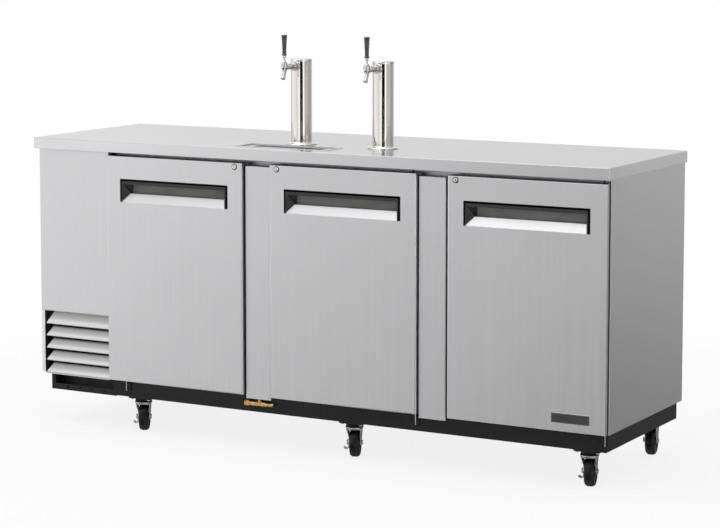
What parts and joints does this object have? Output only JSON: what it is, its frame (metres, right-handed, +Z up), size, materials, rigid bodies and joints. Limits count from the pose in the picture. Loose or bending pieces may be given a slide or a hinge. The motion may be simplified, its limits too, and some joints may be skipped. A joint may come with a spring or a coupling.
{
  "type": "draft beer dispenser",
  "caption": "Long stainless steel keg cooler on casters with hinged doors, recessed handles, a louvered machine bay and upright beer taps on its worktop.",
  "frame": {"origin": "on the floor under the middle of the worktop", "axes": "+X to the right along the cabinet as seen from the doors, +Y from the doors to the back, +Z up"},
  "size_m": [2.295, 0.689, 1.465],
  "materials": {
    "brushed_steel": "fine vertical brushing",
    "polished_steel": "polished",
    "zinc_steel": "bright zinc plating",
    "black_steel": "satin powder coat",
    "liner_aluminium": "stucco embossed",
    "brass": "machined",
    "black_plastic": "gloss",
    "grey_plastic": "satin moulding",
    "gasket_rubber": "matte",
    "white_liner": "smooth",
    "tread_rubber": "satin",
    "machine_black": "satin enamel"
  },
  "bodies": {
    "cabinet": {"base_frame": "black_steel", "cabinet_body": "liner_aluminium", "left_side_panel": "brushed_steel", "right_side_panel": "brushed_steel", "machine_front_panel": "brushed_steel", "louver_grille": "brushed_steel", "worktop": "brushed_steel", "mullion_cover_1": "brushed_steel", "mullion_cover_2": "brushed_steel", "drain_valve": "brass", "drip_tray": "brushed_steel", "hinge_bottom_1": "black_steel", "hinge_bottom_2": "black_steel", "hinge_bottom_3": "black_steel", "hinge_top_1": "black_steel", "hinge_top_2": "black_steel", "hinge_top_3": "black_steel", "tower_column_1": "polished_steel", "tower_column_2": "polished_steel", "faucet_body_1": "polished_steel", "faucet_body_2": "polished_steel", "condensing_unit": "machine_black", "evaporator_case": "liner_aluminium"},
    "drip_grate": {"drip_grate": "brushed_steel"},
    "door_1": {"door_skin_1": "brushed_steel", "door_core_1": "white_liner", "door_gasket_1": "gasket_rubber", "handle_bezel_1": "grey_plastic"},
    "door_2": {"door_skin_2": "brushed_steel", "door_core_2": "white_liner", "door_gasket_2": "gasket_rubber", "handle_bezel_2": "grey_plastic"},
    "door_3": {"door_skin_3": "brushed_steel", "door_core_3": "white_liner", "door_gasket_3": "gasket_rubber", "handle_bezel_3": "grey_plastic"},
    "lock_plug_1": {"lock_plug_1": "polished_steel"},
    "lock_plug_2": {"lock_plug_2": "polished_steel"},
    "lock_plug_3": {"lock_plug_3": "polished_steel"},
    "tap_1": {"tap_lever_1": "polished_steel", "tap_knob_1": "black_plastic"},
    "tap_2": {"tap_lever_2": "polished_steel", "tap_knob_2": "black_plastic"},
    "condenser_fan": {"condenser_fan": "black_plastic"},
    "evaporator_fan": {"evaporator_fan": "black_plastic"},
    "caster_fork_1": {"caster_fork_1": "zinc_steel"},
    "caster_fork_2": {"caster_fork_2": "zinc_steel"},
    "caster_fork_3": {"caster_fork_3": "zinc_steel"},
    "caster_fork_4": {"caster_fork_4": "zinc_steel"},
    "caster_fork_5": {"caster_fork_5": "zinc_steel"},
    "caster_fork_6": {"caster_fork_6": "zinc_steel"},
    "caster_wheel_1": {"caster_wheel_1": "tread_rubber"},
    "caster_wheel_2": {"caster_wheel_2": "tread_rubber"},
    "caster_wheel_3": {"caster_wheel_3": "tread_rubber"},
    "caster_wheel_4": {"caster_wheel_4": "tread_rubber"},
    "caster_wheel_5": {"caster_wheel_5": "tread_rubber"},
    "caster_wheel_6": {"caster_wheel_6": "tread_rubber"},
    "brake_lever_1": {"brake_lever_1": "zinc_steel"},
    "brake_lever_2": {"brake_lever_2": "zinc_steel"},
    "brake_lever_3": {"brake_lever_3": "zinc_steel"}
  },
  "joints": [
    {"name": "door_1_hinge", "type": "hinge", "parent": "cabinet", "child": "door_1", "pos_m": [-0.8105, -0.3275, 0.6], "axis": [0, 0, -1], "range_deg": [0, 110]},
    {"name": "door_2_hinge", "type": "hinge", "parent": "cabinet", "child": "door_2", "pos_m": [0.4265, -0.3275, 0.6], "axis": [0, 0, 1], "range_deg": [0, 110]},
    {"name": "door_3_hinge", "type": "hinge", "parent": "cabinet", "child": "door_3", "pos_m": [1.123, -0.3275, 0.6], "axis": [0, 0, 1], "range_deg": [0, 110]},
    {"name": "lock_1_turn", "type": "hinge", "parent": "door_1", "child": "lock_plug_1", "pos_m": [-0.2785, -0.3365, 1.0025], "axis": [0, 1, 0], "range_deg": [0, 90]},
    {"name": "lock_2_turn", "type": "hinge", "parent": "door_2", "child": "lock_plug_2", "pos_m": [-0.1055, -0.3365, 1.0025], "axis": [0, 1, 0], "range_deg": [0, 90]},
    {"name": "lock_3_turn", "type": "hinge", "parent": "door_3", "child": "lock_plug_3", "pos_m": [0.591, -0.3365, 1.0025], "axis": [0, 1, 0], "range_deg": [0, 90]},
    {"name": "tap_1_pull", "type": "hinge", "parent": "cabinet", "child": "tap_1", "pos_m": [-0.1425, -0.2195, 1.3663], "axis": [1, 0, 0], "range_deg": [0, 35]},
    {"name": "tap_2_pull", "type": "hinge", "parent": "cabinet", "child": "tap_2", "pos_m": [0.1885, -0.2195, 1.3663], "axis": [1, 0, 0], "range_deg": [0, 35]},
    {"name": "drip_grate_lift", "type": "slide", "parent": "cabinet", "child": "drip_grate", "axis": [0, 0, 1], "range_m": [0, 0.06]},
    {"name": "condenser_fan_spin", "type": "hinge", "parent": "cabinet", "child": "condenser_fan", "pos_m": [-0.987, -0.2128, 0.2968], "axis": [0, 1, 0], "continuous": true},
    {"name": "evaporator_fan_spin", "type": "hinge", "parent": "cabinet", "child": "evaporator_fan", "pos_m": [-0.6974, 0.0155, 0.8025], "axis": [1, 0, 0], "continuous": true},
    {"name": "caster_1_swivel", "type": "hinge", "parent": "cabinet", "child": "caster_fork_1", "pos_m": [-0.7165, -0.2725, 0.11], "axis": [0, 0, 1], "continuous": true},
    {"name": "caster_1_roll", "type": "hinge", "parent": "caster_fork_1", "child": "caster_wheel_1", "pos_m": [-0.7274, -0.25112, 0.051], "axis": [0.891, 0.454, 0], "continuous": true},
    {"name": "brake_1_tilt", "type": "hinge", "parent": "caster_fork_1", "child": "brake_lever_1", "pos_m": [-0.7274, -0.25112, 0.051], "axis": [0.891, 0.454, 0], "range_deg": [0, 35]},
    {"name": "caster_2_swivel", "type": "hinge", "parent": "cabinet", "child": "caster_fork_2", "pos_m": [0.1695, -0.2725, 0.11], "axis": [0, 0, 1], "continuous": true},
    {"name": "caster_2_roll", "type": "hinge", "parent": "caster_fork_2", "child": "caster_wheel_2", "pos_m": [0.16051, -0.25025, 0.051], "axis": [0.9272, 0.3746, 0], "continuous": true},
    {"name": "brake_2_tilt", "type": "hinge", "parent": "caster_fork_2", "child": "brake_lever_2", "pos_m": [0.16051, -0.25025, 0.051], "axis": [0.9272, 0.3746, 0], "range_deg": [0, 35]},
    {"name": "caster_3_swivel", "type": "hinge", "parent": "cabinet", "child": "caster_fork_3", "pos_m": [1.0575, -0.2725, 0.11], "axis": [0, 0, 1], "continuous": true},
    {"name": "caster_3_roll", "type": "hinge", "parent": "caster_fork_3", "child": "caster_wheel_3", "pos_m": [1.05169, -0.24921, 0.051], "axis": [0.9703, 0.2419, 0], "continuous": true},
    {"name": "brake_3_tilt", "type": "hinge", "parent": "caster_fork_3", "child": "brake_lever_3", "pos_m": [1.05169, -0.24921, 0.051], "axis": [0.9703, 0.2419, 0], "range_deg": [0, 35]},
    {"name": "caster_4_swivel", "type": "hinge", "parent": "cabinet", "child": "caster_fork_4", "pos_m": [-0.7165, 0.2595, 0.11], "axis": [0, 0, 1], "continuous": true},
    {"name": "caster_4_roll", "type": "hinge", "parent": "caster_fork_4", "child": "caster_wheel_4", "pos_m": [-0.72626, 0.28142, 0.051], "axis": [0.9135, 0.4067, 0], "continuous": true},
    {"name": "caster_5_swivel", "type": "hinge", "parent": "cabinet", "child": "caster_fork_5", "pos_m": [0.1695, 0.2595, 0.11], "axis": [0, 0, 1], "continuous": true},
    {"name": "caster_5_roll", "type": "hinge", "parent": "caster_fork_5", "child": "caster_wheel_5", "pos_m": [0.16208, 0.28232, 0.051], "axis": [0.9511, 0.309, 0], "continuous": true},
    {"name": "caster_6_swivel", "type": "hinge", "parent": "cabinet", "child": "caster_fork_6", "pos_m": [1.0575, 0.2595, 0.11], "axis": [0, 0, 1], "continuous": true},
    {"name": "caster_6_roll", "type": "hinge", "parent": "caster_fork_6", "child": "caster_wheel_6", "pos_m": [1.05251, 0.28298, 0.051], "axis": [0.9781, 0.2079, 0], "continuous": true}
  ]
}
